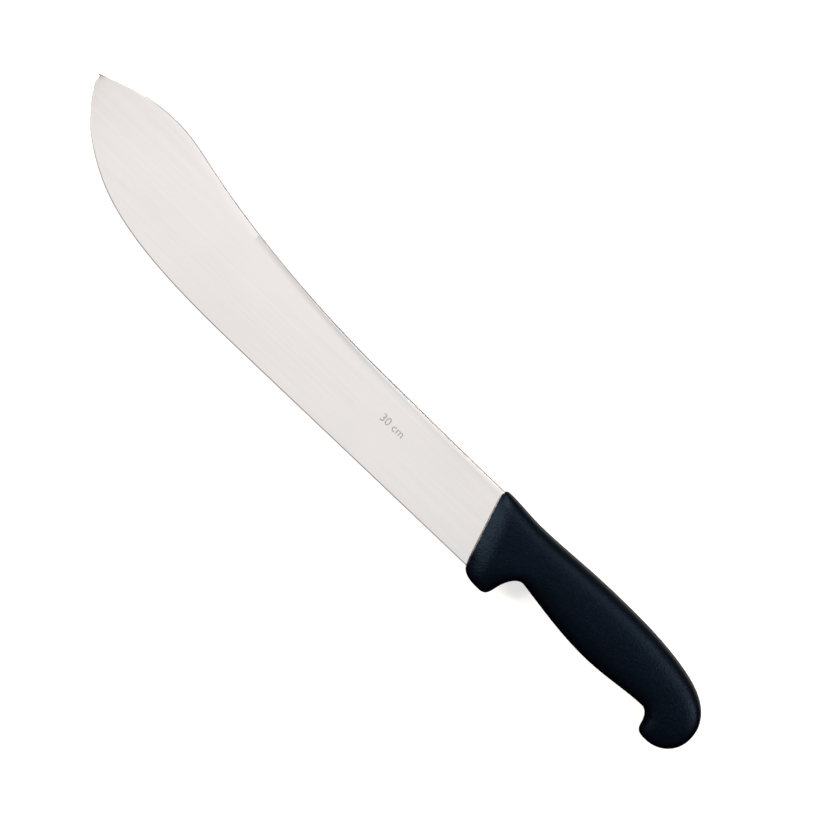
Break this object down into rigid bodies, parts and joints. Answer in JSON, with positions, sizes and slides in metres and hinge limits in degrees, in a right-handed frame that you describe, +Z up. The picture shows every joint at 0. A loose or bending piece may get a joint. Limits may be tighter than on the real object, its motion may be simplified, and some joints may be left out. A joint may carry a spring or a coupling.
{
  "type": "butcher's knife",
  "caption": "Long butcher's knife with a broad upswept nose, a hidden tang and a moulded plastic handle with a finger guard and a hooked butt.",
  "frame": {"origin": "middle of the knife's outline, on the surface that the handle's lower side lies on", "axes": "+X towards the butt of the handle, +Y towards the spine of the blade, +Z up out of the knife's side"},
  "size_m": [0.45, 0.0674, 0.021],
  "materials": {
    "blade_steel": "satin, fine grain along the blade",
    "handle_plastic": "fine matt moulded texture, blue-black"
  },
  "bodies": {
    "root": {"blade": "blade_steel", "handle": "handle_plastic"}
  },
  "joints": []
}
